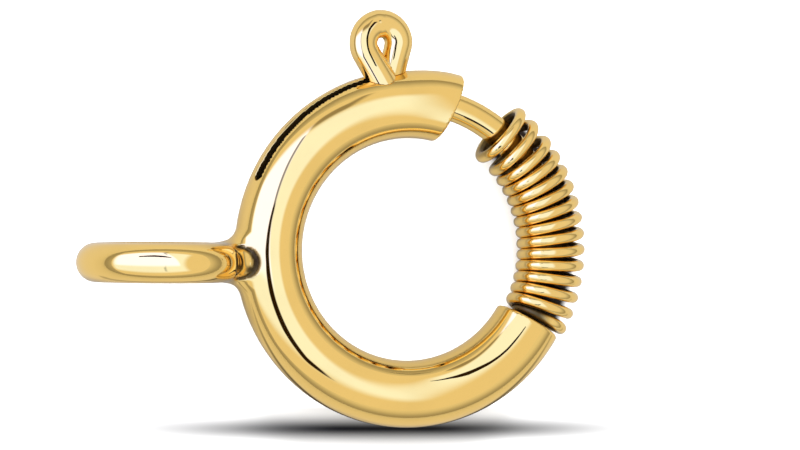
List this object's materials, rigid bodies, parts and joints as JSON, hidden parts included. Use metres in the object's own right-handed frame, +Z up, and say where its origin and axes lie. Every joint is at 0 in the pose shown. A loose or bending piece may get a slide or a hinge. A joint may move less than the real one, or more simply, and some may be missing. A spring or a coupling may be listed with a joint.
{
  "type": "spring ring clasp",
  "caption": "Spring ring clasp of gold-coloured metal: hollow ring with a sliding curved bolt, coiled wire guard, thumb loop and a fastening ring set square across the back.",
  "frame": {"origin": "on the surface that the clasp lies on, below the middle of its bounding box", "axes": "+Z up from the surface; +X from the fastening ring towards the guard; +Y towards the thumb loop"},
  "size_m": [0.0264, 0.021, 0.0083],
  "materials": {
    "polished_gold": "mirror polish",
    "gold_wire": "bright drawn wire",
    "spring_wire": "drawn wire, a little duller"
  },
  "bodies": {
    "ring": {"clasp_body": "polished_gold", "guard_coil": "gold_wire", "return_spring": "spring_wire"},
    "slider": {"bolt": "polished_gold", "thumb_loop": "gold_wire"}
  },
  "joints": [
    {"name": "bolt_slide", "type": "hinge", "parent": "ring", "child": "slider", "pos_m": [0.00394, -0.00152, 0.00263], "axis": [0.1172, 0, 0.9931], "range_deg": [0, 56.9], "stiffness_Nm_per_rad": 0.003, "springref_deg": -22.92, "deforming": ["return_spring"]}
  ]
}
